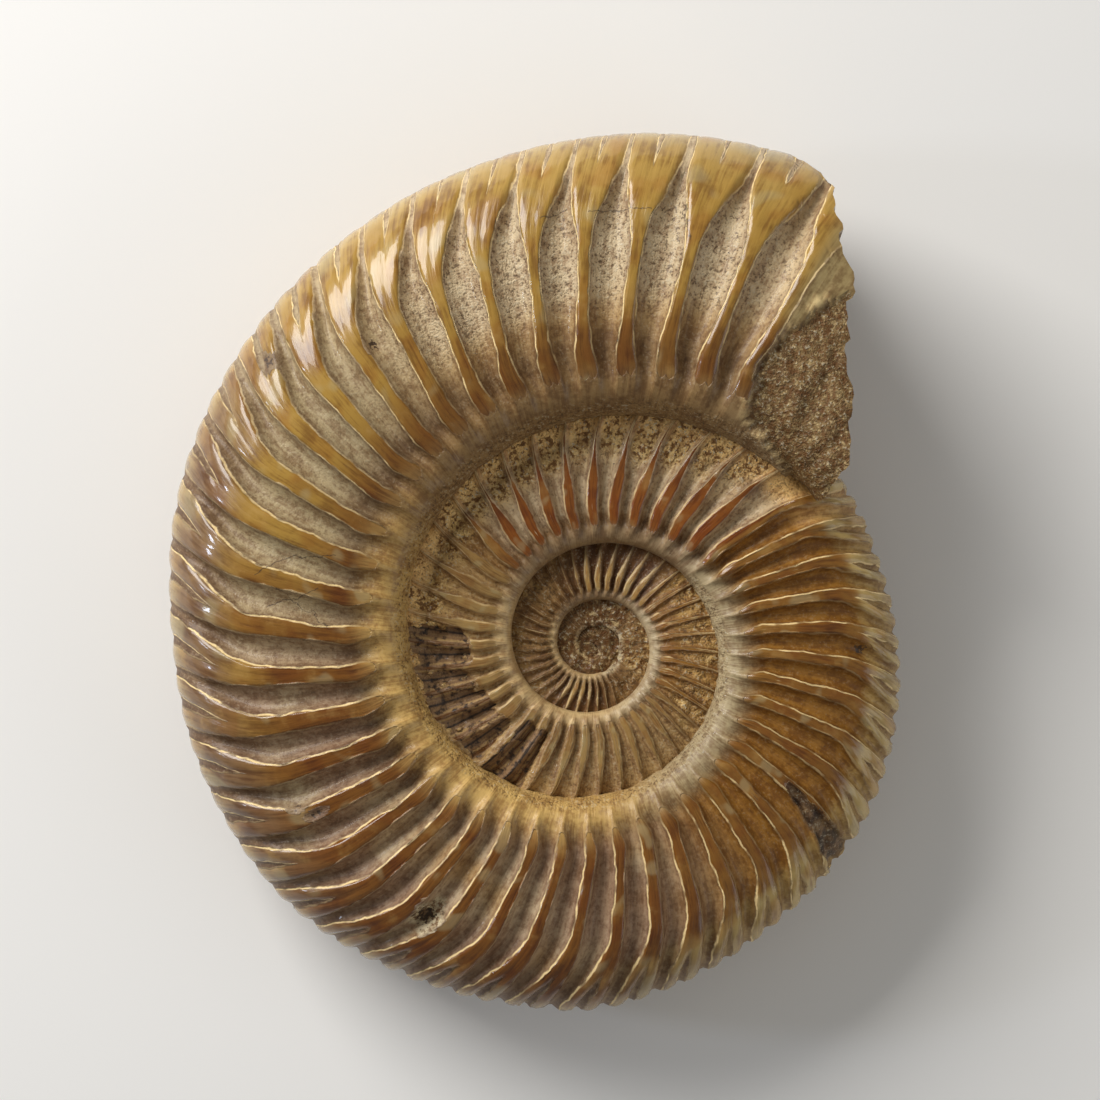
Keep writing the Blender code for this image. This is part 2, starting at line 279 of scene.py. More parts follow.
class Spots:
    """Places on a whorl's grid, with what the relief and the colours need there."""

    def __init__(self, coil, angle, share, side, rib):
        self.coil = coil
        self.angle, self.share, self.side, self.rib = np.broadcast_arrays(angle, share, side, rib)
        self.front = self.side > 0.0
        self.flat = coil.plain(self.angle, self.share, self.side)
        self.height = coil.whorl_height(self.angle)
        self.radius = coil.seam_radius(self.angle) + self.share * self.height
        covered = np.maximum(coil.covered_share(self.angle), 0.05)
        outside = smooth(self.share, covered + 0.01, covered + 0.09)
        self.last = np.maximum(smooth(self.rib, -1.5, -0.5), smooth(self.rib, -3.45, -3.1) * outside)
        self.reach = self.share / np.where(self.rib < 0.0, covered, 1.0)
        self.polished = zone(self.angle, *POLISHED, 14.0)
        self.left = zone(self.angle, *LEFT, 14.0)
        self.inside = self.rib < SECOND_ENDS_RIB
        self.second = self.inside * (self.rib > SECOND_STARTS_RIB)
        shift = 0.05 * bump(self.angle, 95.0, 32.0) + 0.5 * zone(self.angle, -316.0, -220.0, 9.0)
        self.off_crest = np.abs((self.rib + shift + 0.5) % 1.0 - 0.5)

    def spot(self, angle, share, long, wide):
        """A bell-shaped spot on the front: its place, half length out along the flank and half width."""
        out = (self.share - share) * self.height
        across = np.radians(self.angle - angle) * self.radius
        return np.exp(-((out / long) ** 2) - (across / wide) ** 2) * self.front


# Holes and worn spots of the last whorl's front: turn angle, flank share, half length, half width, depth
PITS = (
    (122.0, 0.69, 0.85 * MM, 0.75 * MM, 0.70 * MM),
    (149.0, 0.62, 0.9 * MM, 0.35 * MM, 0.40 * MM),
    (151.5, 0.68, 0.5 * MM, 0.35 * MM, 0.30 * MM),
    (221.0, 0.86, 0.7 * MM, 0.55 * MM, 0.30 * MM),
    (233.5, 0.60, 0.6 * MM, 0.5 * MM, 0.35 * MM),
    (0.8, 0.78, 0.6 * MM, 0.5 * MM, 0.25 * MM),
)


# Cracks of the last whorl: turn angle and flank share of both ends
CRACKS = (
    (184.0, 0.30, 190.5, 0.52),
    (187.0, 0.56, 191.5, 0.36),
    (192.5, 0.60, 197.0, 0.46),
    (197.0, 0.46, 199.5, 0.30),
    (269.0, 0.700, 277.5, 0.705),
    (281.5, 0.72, 283.0, 0.60),
    (262.5, 0.71, 266.0, 0.72),
)
CRACK_WIDTH = 0.068 * MM

# Height that the material's own relief stands for
BUMP_DEPTH = 0.22 * MM


def crack_lines(sizes):
    """Both ends of every crack in the frame, on the front of the last whorl."""
    ends = np.array(CRACKS).reshape(-1, 2)
    coil = Coil(sizes)
    points = laid_down(coil.plain(ends[:, 0], ends[:, 1], np.ones(len(ends))))
    return points.reshape(-1, 2, 3)


def rim_line_and_highlight(spots):
    """How bright the gilded line on a crest's edge is: the shell's cut edge, faint all round, with a painted
    highlight on the side of the rib that faces the light and on both sides on the polished top.
    """
    ahead = np.where((spots.rib + 0.5) % 1.0 > 0.5, 1.0, -1.0)
    facing = ahead * np.cos(np.radians(spots.angle - 120.0))
    top = zone(spots.angle, *TOP, 14.0)
    # Painted highlight: the line is brighter on the side of the rib that faces the light
    strength = 0.22 + 0.78 * smooth(facing, -0.30, 0.35)
    strength = np.maximum(strength, 0.7 * top)
    holes = sum(spots.spot(at, where, 1.6 * long, 1.6 * wide) for at, where, long, wide, _ in PITS)
    strength = strength * (1.0 - smooth(holes, 0.02, 0.30))
    return strength * smooth(spots.reach, 0.15, 0.27) * (1.0 - 0.4 * spots.inside)


def groove_half(spots):
    """Half the groove's width in rib spacings: narrow at the umbilical end, widest on the flank, and
    drawn in again towards the outer edge, most where the shell is polished smooth. On the whorls inside
    a crest is a drop, round at its umbilical end and pointed at the other."""
    full = spots.coil.sizes.groove_share / 2.0
    full = full + 0.030 * (1.0 - smooth(spots.angle, 20.0, 80.0)) + 0.035 * bump(spots.angle, 100.0, 32.0)
    full = full + 0.070 * zone(spots.angle, 240.0, 330.0, 14.0) * bump(spots.share, 0.48, 0.26)
    start = 0.70 + 0.30 * smooth(spots.reach, 0.10, 0.36)
    start = start + 0.60 * smooth(spots.reach, 0.24, 0.08) * (1.0 - zone(spots.angle, 225.0, 330.0, 20.0))
    plain = 1.0 - 0.60 * smooth(spots.share, 0.62, 1.0)
    shiny = 1.0 - 0.84 * smooth(spots.share, 0.58, 0.92)
    lens = plain + (shiny - plain) * spots.polished - 0.12 * spots.left * smooth(spots.share, 0.55, 0.80)
    pointed = 1.0 - smooth(spots.reach, 0.34, 1.0)
    rounded = 0.45 + 0.55 * smooth(spots.reach, 0.08, 0.20)
    drop = 0.5 - 0.235 * pointed * rounded
    return drop + (full * start * lens - drop) * spots.last


def split_half(spots):
    """Half the width of the little groove that splits a crest in two, below 0 where there is none."""
    start = spots.coil.sizes.split_share + 0.028 * wild(spots.rib) + 0.03 * spots.polished
    opened = smooth(spots.share, start - 0.04, start + 0.17)
    wide = 0.105 - 0.062 * spots.polished - 0.02 * spots.left
    return (wide + 0.05) * opened * spots.last - 0.05


def valley(offset, half):
    """The cross-section of a groove: 1 in its middle, 0 at its edges, steep at the edges."""
    across = np.clip(offset / np.maximum(half, 0.001), 0.0, 1.0)
    return (1.0 - across**2) ** 0.7 * (half > 0.0)


def edge_distance(spots):
    """Millimetres from the nearest crest edge, above 0 on the crest and below 0 in a groove."""
    wobble = 0.12 * noise(spots.flat, 1.7 * MM, 3.0) + 0.08 * noise(spots.flat, 0.7 * MM, 9.0)
    spacing = np.radians(RIB_SPACING) * spots.radius / MM
    groove = (0.5 - spots.off_crest - groove_half(spots)) * spacing
    split = (spots.off_crest - split_half(spots)) * spacing
    return np.minimum(groove, split) + wobble * (0.35 + 0.65 * spots.last)


def shell_patch(spots):
    """The smooth bare shell in front of the last rib, beside the broken mouth."""
    return smooth(spots.angle, 298.5, 301.0) * zone(spots.share, 0.40, 0.84, 0.05) * spots.front


def scar(spots):
    """The broken place on the lower right: a wedge that opens towards the outer edge."""
    run = (spots.share - 0.50) / 0.47
    line = 35.5 + 5.0 * run
    wide = 0.9 + 2.3 * np.clip(run, 0.0, 1.0)
    ragged = 0.15 * noise(spots.flat, 0.9 * MM, 7.0)
    wedge = smooth(bump(spots.angle, line, wide) + ragged, 0.34, 0.62)
    return wedge * smooth(run, -0.05, 0.20) * spots.front


def matrix_lead(spots):
    """Degrees past the ragged line at which the rough stone starts."""
    ragged = 1.0 * noise(spots.flat, 1.6 * MM, 5.0) + 0.5 * noise(spots.flat, 0.6 * MM, 6.0)
    return spots.angle + ragged - np.interp(spots.share, MATRIX_SHARES, MATRIX_ANGLES)


def matrix_mask(spots):
    """The rough stone in the broken mouth, where the shell has gone from the flank."""
    return smooth(matrix_lead(spots), -0.4, 0.4) * smooth(spots.share, 0.64, 0.62) * spots.front


def broken_patches(spots, soft=0.07):
    """The dark broken places on the second whorl, ragged towards the seam, with an edge that soft."""
    first = zone(spots.angle, -224.0, -172.0, 2.5) * smooth(spots.reach, 0.30, 0.54)
    first = first * smooth(spots.reach, 1.04, 0.90)
    second = zone(spots.angle, -243.0, -228.0, 1.5) * smooth(spots.reach, 0.20, 0.38)
    ragged = noise(spots.flat, 1.2 * MM, 12.0) + 0.8 * noise(spots.flat, 0.5 * MM, 13.0)
    ragged = ragged + 0.7 * wild(spots.rib)
    patch = np.maximum(first, second)
    cover = smooth(patch + 0.36 * ragged, 0.57 - soft, 0.57 + soft)
    return cover * smooth(patch, 0.02, 0.15) * spots.front


def sediment(spots):
    """Sandy grains in the second whorl's grooves near the seam outside them, and on the whorls inside."""
    outer = zone(spots.angle, -205.0, -44.0, 14.0) * smooth(spots.reach, 0.50, 0.80)
    side = 0.6 * zone(spots.angle, -400.0, -318.0, 12.0) * smooth(spots.reach, 0.25, 0.60)
    inner = 0.45 * zone(spots.angle, -590.0, -470.0, 14.0) + smooth(spots.angle, -610.0, -700.0)
    ragged = 0.7 * noise(spots.flat, 1.3 * MM, 21.0)
    in_groove = smooth(spots.off_crest, 0.08, 0.22)
    cover = np.maximum(outer, side) * (0.15 + 0.95 * in_groove) + inner
    return np.clip(cover * (1.0 + ragged), 0.0, 1.0) * spots.inside


def relief(spots):
    """How far the surface lies below its plain form, in metres: grooves, splits, rounded bumps at the
    outer edge, the scar, the pits, the rough stone, and what is worn or broken inside."""
    sizes = spots.coil.sizes
    smooth_edge = np.maximum(spots.polished, 0.75 * spots.left)
    fading = 1.0 - (0.66 + 0.32 * smooth_edge) * smooth(spots.share, 0.78, 1.0) * spots.last
    reach = (0.20 * smooth(spots.reach, 0.03, 0.08) + 0.80 * smooth(spots.reach, 0.07, 0.20)) * fading
    gain = sizes.inner_groove_gain + (1.0 - sizes.inner_groove_gain) * smooth(spots.rib, -9.0, -1.0)
    gain = gain * (1.0 - 0.25 * zone(spots.angle, -330.0, -170.0, 20.0)
                   - 0.50 * zone(spots.angle, -425.0, -340.0, 12.0))
    gain = gain * (1.0 - 0.22 * spots.polished)
    ribbed = 1.0 - 0.22 * zone(spots.angle, -610.0, -462.0, 20.0)
    ribbed = ribbed - 0.8 * smooth(spots.angle, -640.0, -720.0)
    offset = 0.5 - spots.off_crest
    groove = sizes.groove_depth * spots.height * reach * gain * valley(offset, groove_half(spots))
    groove = groove * (1.0 - 0.50 * sediment(spots))
    deepen = smooth(spots.share, sizes.split_share, 0.92) * (1.0 - 0.45 * smooth(spots.share, 0.92, 1.0))
    deepen = deepen * (1.0 - 0.85 * spots.polished - 0.45 * spots.left)
    split = sizes.split_depth * spots.height * deepen * valley(spots.off_crest, split_half(spots))
    notch = 1.0 - (0.25 - np.abs(spots.off_crest - 0.25)) / 0.25
    rounded = sizes.edge_bumps * notch**1.7 * smooth(spots.share, 0.86, 0.99) * spots.last
    rounded = rounded * (1.0 - 0.97 * spots.polished - 0.60 * spots.left)
    hollow = sum(depth * spots.spot(angle, share, long, wide) for angle, share, long, wide, depth in PITS)
    stone = matrix_mask(spots)
    rough = noise(spots.flat, 0.9 * MM, 31.0) + 0.7 * noise(spots.flat, 0.45 * MM, 33.0)
    edge = edge_distance(spots)
    in_groove = smooth(-edge, 0.05, 0.5)
    knob = bump(spots.reach, 0.19, 0.05) * bump(spots.off_crest, 0.0, 0.13)
    knob = 0.22 * MM * knob * zone(spots.angle, -45.0, 72.0, 10.0)
    shoulder = 0.08 * MM * smooth(edge, 0.55, 0.0) * (edge > 0.0)
    shoulder = shoulder * smooth(spots.reach, 0.10, 0.2) * spots.last
    grains = 0.035 * MM * rough * in_groove * smooth(spots.share, 0.02, 0.10)
    waves = 0.035 * MM * noise(spots.flat, 2.2 * MM, 41.0) * (1.0 - in_groove)
    gritty = sediment(spots) * 0.18 * MM * rough
    dark = broken_patches(spots)
    broken = dark * (0.16 + 0.34 * smooth(spots.off_crest, 0.10, 0.24) + 0.11 * rough) * MM
    scarred = scar(spots)
    corner = smooth(spots.reach, 0.80, 1.0) * zone(spots.angle, *BANKED, 16.0)
    banked = corner * (1.10 + 0.20 * rough) * MM
    crust = smooth(spots.reach, 0.055, 0.02) * (0.08 + 0.10 * rough) * MM * spots.last
    total = (groove + split + rounded) * ribbed * (1.0 - 0.85 * stone) * (1.0 - 0.45 * scarred)
    total = total * (1.0 - 0.85 * shell_patch(spots))
    total = total + stone * (0.55 * MM + 0.30 * MM * rough) + hollow + broken
    total = total + scarred * (0.8 * MM + 0.20 * MM * rough)
    return total + grains + waves + gritty + shoulder - knob - banked - crust


def mix(base, colour, mask):
    """Both colours blended, the second by its mask."""
    return base + (np.asarray(colour)[..., :3] - base) * np.clip(mask, 0.0, 1.0)[..., None]


def crest_colours(spots, tints):
    """Colour of the polished crests: tawny, turning to honey on the upper left, amber below, umber near
    the umbilicus at the top, and olive at the outer edge on the right and at the mouth."""
    angle, share, reach = spots.angle, spots.share, spots.reach
    colour = np.zeros(angle.shape + (3,)) + np.array(tints.tawny[:3])
    patchy = 0.5 + 0.5 * noise(spots.flat, 3.0 * MM, 51.0)
    blotch = smooth(noise(spots.flat, 4.2 * MM, 53.0) + 0.4 * noise(spots.flat, 1.4 * MM, 54.0), 0.15, 0.6)
    upper = zone(angle, 190.0, 330.0, 16.0) * smooth(share, 0.24, 0.50)
    upper = np.maximum(upper, 0.85 * zone(angle, 162.0, 210.0, 12.0) * smooth(share, 0.50, 0.78))
    colour = mix(colour, tints.amber, zone(angle, 68.0, 205.0, 18.0) * (0.6 + 0.4 * patchy) * spots.last)
    colour = mix(colour, tints.honey, upper * (0.80 + 0.20 * patchy))
    redder = 0.45 * zone(angle, -30.0, 60.0, 20.0) * zone(share, 0.25, 0.72, 0.08)
    colour = mix(colour, tints.amber, redder)
    colour = mix(colour, tints.amber, 0.40 * blotch * zone(angle, 150.0, 240.0, 14.0))
    low = smooth(reach, 0.46, 0.18) * zone(angle, 205.0, 330.0, 16.0)
    colour = mix(colour, tints.umber, 0.75 * low * (0.5 + 0.5 * patchy))
    # Painted shadow on the outer edge on the left
    colour = mix(colour, tints.outer_edge_shade, 0.95 * zone(angle, *SHADED_LEFT, 16.0) * smooth(share, 0.64, 0.88))
    fringe = (1.0 - smooth(angle, 60.0, 100.0)) * smooth(share, 0.77, 0.84) * spots.last
    colour = mix(colour, tints.olive, 0.9 * fringe)
    # Painted shade on the outer edge below
    colour = mix(colour, tints.outer_edge_shade, 0.7 * zone(angle, 66.0, 140.0, 16.0) * smooth(share, 0.82, 0.95))
    colour = mix(colour, tints.olive, 0.6 * smooth(share, 0.92, 0.99) * spots.last)
    cloudy = 0.35 * zone(angle, 232.0, 330.0, 14.0) * smooth(share, 0.70, 0.86)
    colour = mix(colour, tints.olive, cloudy * patchy)
    colour = mix(colour, tints.shell, 0.9 * shell_patch(spots))
    window = spots.second * zone(angle, *WINDOWS, 6.0) * zone(reach, 0.12, 0.90, 0.05)
    colour = mix(colour, tints.ember, window * (0.75 + 0.25 * patchy))
    colour = mix(colour, tints.amber, window * 0.7 * smooth(reach, 0.30, 0.75) * patchy)
    colour = mix(colour, tints.rib_tan, spots.second * zone(angle, *TAN_RIBS, 10.0) * (0.5 + 0.4 * patchy))
    colour = mix(colour, tints.groove_brown, spots.second * zone(angle, -410.0, -325.0, 10.0) * 0.5)
    colour = mix(colour, tints.gold, 0.8 * smooth(angle, THIRD_WHORL, THIRD_WHORL - 10.0))
    fade = 0.19 + 0.08 * zone(angle, 66.0, 225.0, 16.0)
    return mix(colour, wall_colour_and_painted_light(spots, tints), smooth(reach, fade, 0.07))


def wall_colour_and_painted_light(spots, tints):
    """Colour of the umbilical wall by the way it faces: grey-cream on the right with painted light where the
    wall faces the light, ochre below and on the left with its tone painted lighter where the wall turns from
    the light, and violet-brown painted shade at the top where it faces away.
    """
    colour = np.zeros(spots.angle.shape + (3,)) + np.array(tints.wall[:3])
    facing = np.radians(spots.angle - 8.0)
    # Painted light: grey-cream where the wall faces the light
    colour = mix(colour, tints.pale_wall, 0.9 * smooth(np.cos(facing), 0.15, 0.80))
    # Ochre tone, painted lighter where the wall turns from the light
    colour = mix(colour, tints.ochre, smooth(np.cos(facing - np.radians(137.0)), 0.20, 0.85))
    colour = mix(colour, tints.groove_grey, 0.4 * spots.inside)
    # Painted shade: violet-brown where the wall faces away from the light
    return mix(colour, tints.violet, 0.60 * smooth(np.cos(facing - np.radians(260.0)), 0.35, 0.85))


def groove_colours(spots, tints):
    """Colour of the dull grooves: warm brown on the right, tan on the left, grey at the top and below, and
    on the whorls inside by the places that the photograph shows."""
    angle, share, reach = spots.angle, spots.share, spots.reach
    colour = np.zeros(angle.shape + (3,)) + np.array(tints.groove_brown[:3])
    patchy = 0.5 + 0.5 * noise(spots.flat, 2.2 * MM, 61.0)
    blotch = 0.5 + 0.5 * noise(spots.flat, 4.5 * MM, 63.0)
    colour = mix(colour, tints.groove_tan, zone(angle, 66.0, 330.0, 20.0) * (0.7 + 0.3 * patchy))
    grey = 0.6 * spots.left * smooth(blotch, 0.45, 0.70)
    grey = np.maximum(spots.polished * smooth(share, 0.30, 0.48), grey)
    colour = mix(colour, tints.groove_grey, grey * (0.7 + 0.3 * patchy))
    colour = mix(colour, tints.pale_wall, 0.85 * zone(angle, 145.0, 236.0, 16.0))
    below = 0.85 * zone(angle, 72.0, 140.0, 12.0)
    colour = mix(colour, tints.groove_grey, below * smooth(patchy, 0.1, 0.6))
    # Violet-brown towards the umbilicus at the top: partly the grooves' own tone, partly painted shade
    colour = mix(colour, tints.violet, 0.75 * zone(angle, 212.0, 330.0, 16.0) * smooth(share, 0.42, 0.18))
    colour = mix(colour, tints.mauve, 0.80 * zone(angle, 66.0, 180.0, 16.0) * smooth(blotch, 0.95, 0.40))
    # Violet-brown towards the umbilicus on the left: partly the grooves' own tone, partly painted shade
    colour = mix(colour, tints.violet, 0.70 * zone(angle, 130.0, 230.0, 14.0) * smooth(share, 0.40, 0.16))
    # Painted shadow on the outer edge on the left
    colour = mix(colour, tints.outer_edge_shade, 0.90 * zone(angle, *SHADED_LEFT, 16.0) * smooth(share, 0.64, 0.88))
    fringe = (1.0 - smooth(angle, 60.0, 110.0)) * smooth(share, 0.77, 0.84) * spots.last
    colour = mix(colour, tints.olive, 0.6 * fringe)
    # Painted shade on the outer edge below
    colour = mix(colour, tints.outer_edge_shade, 0.6 * zone(angle, *BELOW, 16.0) * smooth(share, 0.78, 0.92))
    chipped = smooth(angle, 303.0, 307.0) * (share < 0.1)
    colour = mix(colour, tints.shell, np.maximum(0.9 * shell_patch(spots), chipped))
    pale = spots.second * zone(angle, *WINDOWS, 8.0) * zone(reach, 0.22, 0.90, 0.08)
    colour = mix(colour, tints.groove_grey, 0.80 * pale)
    shaded = spots.second * zone(angle, -150.0, -34.0, 8.0) * smooth(reach, 0.26, 0.14)
    colour = mix(colour, tints.violet, 0.6 * shaded)
    colour = mix(colour, tints.groove_tan, spots.second * zone(angle, *TAN_RIBS, 10.0))
    colour = mix(colour, tints.violet, 0.40 * spots.second * zone(angle, -325.0, -245.0, 10.0) * patchy)
    third = smooth(angle, THIRD_WHORL, THIRD_WHORL - 15.0)
    colour = mix(colour, tints.violet, 0.5 * third)
    # Painted shade: umber in the deepest part of the third whorl's grooves
    deep = third * smooth(spots.off_crest, 0.20, 0.34) * smooth(reach, 0.1, 0.2)
    colour = mix(colour, tints.umber, 0.75 * deep)
    colour = mix(colour, tints.sand, 0.85 * sediment(spots))
    # Sediment under the last whorl's wall, painted brighter as light where that wall casts its shadow
    colour = mix(colour, tints.sand_and_painted_light, 0.85 * smooth(reach, 0.78, 0.92) * zone(angle, -200.0, -30.0, 16.0))
    colour = mix(colour, tints.umber, 0.55 * smooth(angle, -690.0, -800.0))
    # Painted shade: the groove is darker along each crest edge, most in blue
    painted_edge_shade = smooth(-edge_distance(spots), 0.45, 0.05) * smooth(reach, 0.12, 0.2)
    colour = colour * (1.0 - 0.42 * painted_edge_shade[..., None] * np.array([0.8, 0.95, 1.0]))
    colour = mix(colour, wall_colour_and_painted_light(spots, tints), smooth(reach, 0.24, 0.08))
    ragged = noise(spots.flat, 0.6 * MM, 15.0)
    scarred = scar(spots)
    colour = mix(colour, tints.charcoal, 0.80 * scarred)
    colour = mix(colour, tints.bark, 0.75 * scarred * smooth(ragged, -0.2, 0.3))
    colour = mix(colour, tints.rib_tan, 0.3 * scarred * smooth(ragged, 0.1, 0.5))
    colour = mix(colour, tints.chalk, 0.9 * pit_halo(spots))
    stone = matrix_mask(spots)
    colour = mix(colour, tints.stone, stone)
    broken_edge = zone(matrix_lead(spots), -1.9, -0.5, 0.5) * smooth(share, 0.64, 0.60)
    return mix(colour, tints.gold_line, 0.75 * broken_edge * smooth(ragged, -0.5, 0.1) * spots.front)


def crest_cover(spots):
    """The crest edge distance once broken, gritty and stony places have lost their polish."""
    lost = np.maximum(matrix_mask(spots), broken_patches(spots))
    lost = np.maximum(lost, 0.9 * sediment(spots) * smooth(spots.off_crest, 0.03, 0.12))
    lost = np.maximum(lost, smooth(scar(spots), 0.25, 0.5))
    lost = np.maximum(lost, smooth(spots.reach, 0.15, 0.08))
    holes = sum(spots.spot(at, where, 1.3 * long, 1.3 * wide) for at, where, long, wide, _ in PITS)
    lost = np.maximum(lost, smooth(holes, 0.2, 0.6))
    lost = np.maximum(lost, pit_halo(spots))
    return edge_distance(spots) - 1.5 * lost


def pit_halo(spots):
    """The crumbly pale ring round the biggest hole."""
    angle, share, long, wide, _ = PITS[0]
    ragged = 1.0 + 0.8 * noise(spots.flat, 0.8 * MM, 19.0)
    return smooth(spots.spot(angle, share, 2.6 * long, 2.2 * wide) * ragged, 0.30, 0.55)


def grain_strength(spots):
    """How granular the dull surface is: 0 where it is smooth, 1 and over where it is rough stone."""
    top = spots.polished * (0.30 + 0.60 * zone(spots.share, 0.38, 0.80, 0.08))
    grain = np.maximum(0.20 + 0.10 * spots.left, top)
    grain = grain * (1.0 - 0.8 * smooth(spots.reach, 0.16, 0.06)) * (1.0 - 0.8 * shell_patch(spots))
    grain = grain + (0.45 - grain) * spots.inside * smooth(spots.reach, 0.10, 0.2)
    grain = np.maximum(grain, 0.8 * smooth(spots.reach, 0.06, 0.03) * spots.last)
    grain = np.maximum(grain, 1.3 * sediment(spots))
    grain = np.maximum(grain, 1.1 * pit_halo(spots))
    grain = np.maximum(grain, 0.75 * np.maximum(broken_patches(spots), scar(spots)))
    return np.maximum(grain, 1.05 * matrix_mask(spots))


def tip_matrix():
    """The turn that tips the coil's plane as it rests."""
    heading = math.radians(TIP_HEADING)
    axis = Vector((math.cos(heading), math.sin(heading), 0.0))
    return Matrix.Rotation(math.radians(TIP_ANGLE), 3, axis)


def laid_down(points):
    """Tips the coil as it rests, moves it to its place in the frame and wears it flat on the ground."""
    tip = np.array(tip_matrix())
    placed = points @ tip.T + np.array(COIL_CENTRE)
    placed[..., 2] = np.maximum(placed[..., 2], 0.0)
    return placed


def tube_mesh(name, grid, layers, sharp_columns):
    """A closed tube from a grid of columns and rows: quads round every ring, a middle point at each end,
    and creases where an end cap starts, so that the caps don't shade the flanks."""
    columns, rows = grid.shape[:2]
    index = np.arange(columns * rows).reshape(columns, rows)
    near, far = index[:-1], index[1:]
    quads = np.stack([near, np.roll(near, -1, axis=1), np.roll(far, -1, axis=1), far], axis=-1)
    quads = quads.reshape(-1, 4)
    middles = np.array([grid[0].mean(axis=0), grid[-1].mean(axis=0)])
    points = np.concatenate([grid.reshape(-1, 3), middles])
    first, last = index[0], index[-1]
    start = np.stack([np.roll(first, -1), first, np.full(rows, columns * rows)], axis=-1)
    end = np.stack([last, np.roll(last, -1), np.full(rows, columns * rows + 1)], axis=-1)
    mesh = bpy.data.meshes.new(name)
    mesh.from_pydata(points, [], quads.tolist() + start.tolist() + end.tolist())
    mesh.shade_smooth()
    edges = np.zeros(len(mesh.edges) * 2, np.int32)
    mesh.edges.foreach_get("vertices", edges)
    ends = edges.reshape(-1, 2)
    column = ends // rows
    ring = (column[:, 0] == column[:, 1]) & (ends.max(axis=1) < columns * rows)
    crease = ring & np.isin(column[:, 0], sharp_columns)
    sharp = mesh.attributes.new("sharp_edge", "BOOLEAN", "EDGE")
    sharp.data.foreach_set("value", crease)
    for layer, values in layers.items():
        flat = values.reshape((columns * rows,) + values.shape[2:])
        full = np.concatenate([flat, values[:1, 0], values[-1:, 0]])
        if values.ndim == 3:
            colour = np.concatenate([full, np.ones((len(full), 1))], axis=1)
            mesh.attributes.new(layer, "FLOAT_COLOR", "POINT").data.foreach_set("color", colour.ravel())
        else:
            mesh.attributes.new(layer, "FLOAT", "POINT").data.foreach_set("value", full.astype(np.float32))
    return mesh


def shell_layers(spots, tints):
    """What the material reads at each point."""
    return {
        "edge": crest_cover(spots),
        "grain": grain_strength(spots),
        # The gold cut edge of the crests, with its painted highlight
        "rim_and_highlight": rim_line_and_highlight(spots),
        "crest colour": crest_colours(spots, tints),
        "groove colour": groove_colours(spots, tints),
        "rib": spots.rib,
        "share": spots.share,
        "broken": broken_patches(spots, 0.30),
        "hole": 1.25 * spots.spot(*PITS[0][:4]) + 0.82 * sum(spots.spot(*pit[:4]) for pit in PITS[1:]),
    }


def rows_of(coil, angle, end, front_rows, back_rows):
    """Shares and sides of a ring's rows: up the front from the seam and down the back to the seam."""
    front = coil.even_shares(angle, end, front_rows)
    back = coil.even_shares(angle, end, back_rows)[::-1]
    if end == 1.0:
        back = back[1:]
    shares = np.concatenate([front, back])
    return shares, np.concatenate([np.ones(len(front)), -np.ones(len(back))])


def closed_rings(values, lift=1.0):
    """Adds a hidden row inside the whorl at each seam, so that every ring closes out of sight. The lift moves
    its points towards the mid-plane, and the layers just repeat."""
    return np.concatenate([values, values[:, -1:] * lift, values[:, :1] * lift], axis=1)


def parted_rings(values, front_rows, lift=1.0):
    """Closed rings with two more hidden rows between front and back, under the seams of the next whorl."""
    front, back = values[:, :front_rows], values[:, front_rows:]
    return closed_rings(np.concatenate([front, front[:, -1:] * lift, back[:, :1] * lift, back], axis=1), lift)


